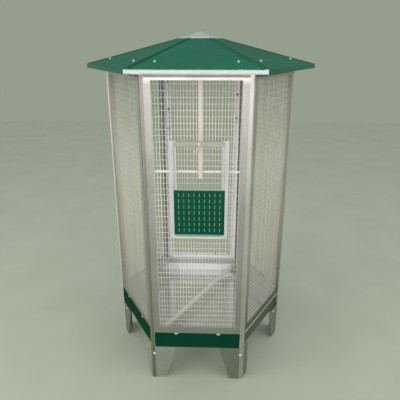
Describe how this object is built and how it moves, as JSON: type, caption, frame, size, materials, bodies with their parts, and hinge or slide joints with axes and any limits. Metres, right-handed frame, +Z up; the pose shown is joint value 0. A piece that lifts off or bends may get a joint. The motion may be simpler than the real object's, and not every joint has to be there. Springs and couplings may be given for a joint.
{
  "type": "hexagonal aviary",
  "caption": "Free-standing hexagonal bird aviary of folded sheet and welded mesh, with a pitched roof, a lifting door plate and pull-out floor trays.",
  "frame": {"origin": "on the ground at the middle of the hexagon", "axes": "+Z up, the front side with the door faces -Y, +X to the right seen from the front"},
  "size_m": [1.068, 0.925, 1.6394],
  "materials": {
    "galvanised_sheet": "galvanised, fine spangle, satin",
    "welded_mesh": "galvanised wire, satin",
    "tray_zinc": "galvanised sheet, smooth and reflecting",
    "roof_green": "smooth paint, satin",
    "tray_green": "smooth paint, satin",
    "door_green": "smooth paint, satin",
    "pale_strip": "pale, satin",
    "pale_rod": "white, smooth"
  },
  "bodies": {
    "cage": {"corner_post_front_left": "galvanised_sheet", "corner_post_front_right": "galvanised_sheet", "corner_post_right": "galvanised_sheet", "corner_post_rear_right": "galvanised_sheet", "corner_post_rear_left": "galvanised_sheet", "corner_post_left": "galvanised_sheet", "foot_front_left": "galvanised_sheet", "foot_front_right": "galvanised_sheet", "foot_right": "galvanised_sheet", "foot_rear_right": "galvanised_sheet", "foot_rear_left": "galvanised_sheet", "foot_left": "galvanised_sheet", "panel_frame_front": "galvanised_sheet", "panel_frame_front_right": "galvanised_sheet", "panel_frame_rear_right": "galvanised_sheet", "panel_frame_rear": "galvanised_sheet", "panel_frame_rear_left": "galvanised_sheet", "panel_frame_front_left": "galvanised_sheet", "net_front_right": "welded_mesh", "net_rear_right": "welded_mesh", "net_rear": "welded_mesh", "net_rear_left": "welded_mesh", "net_front_left": "welded_mesh", "net_front_below_door": "welded_mesh", "net_front_above_door": "welded_mesh", "net_front_left_of_door": "welded_mesh", "net_front_right_of_door": "welded_mesh", "skirt_front_right": "galvanised_sheet", "skirt_rear_right": "galvanised_sheet", "skirt_rear": "galvanised_sheet", "skirt_rear_left": "galvanised_sheet", "floor_runner": "galvanised_sheet", "roof_segment_front": "roof_green", "roof_segment_front_right": "roof_green", "roof_segment_rear_right": "roof_green", "roof_segment_rear": "roof_green", "roof_segment_rear_left": "roof_green", "roof_segment_front_left": "roof_green", "roof_cap": "galvanised_sheet", "door_guide_left": "galvanised_sheet", "door_guide_right": "galvanised_sheet", "door_top_rail": "galvanised_sheet", "door_bottom_rail": "galvanised_sheet", "hook_pin": "galvanised_sheet", "perch_hanger": "pale_strip", "perch_rod": "pale_rod"},
    "right_tray": {"tray_right": "tray_zinc", "tray_front_right": "tray_green", "tray_tab_right_1": "galvanised_sheet", "tray_tab_right_2": "galvanised_sheet"},
    "left_tray": {"tray_left": "tray_zinc", "tray_front_left": "tray_green", "tray_tab_left_1": "galvanised_sheet", "tray_tab_left_2": "galvanised_sheet"},
    "lifting_plate": {"door_plate": "door_green"},
    "hold_up_hook": {"door_hook": "welded_mesh"}
  },
  "joints": [
    {"name": "right_tray_slide", "type": "slide", "parent": "cage", "child": "right_tray", "axis": [-0.5, -0.866, 0], "range_m": [0, 0.4]},
    {"name": "left_tray_slide", "type": "slide", "parent": "cage", "child": "left_tray", "axis": [-0.5, -0.866, 0], "range_m": [0, 0.4]},
    {"name": "plate_lift", "type": "slide", "parent": "cage", "child": "lifting_plate", "axis": [0, 0, 1], "range_m": [0, 0.18]},
    {"name": "hook_swing", "type": "hinge", "parent": "cage", "child": "hold_up_hook", "pos_m": [0.012, -0.39038, 1.2058], "axis": [0, 1, 0], "range_deg": [-118, 62]}
  ]
}
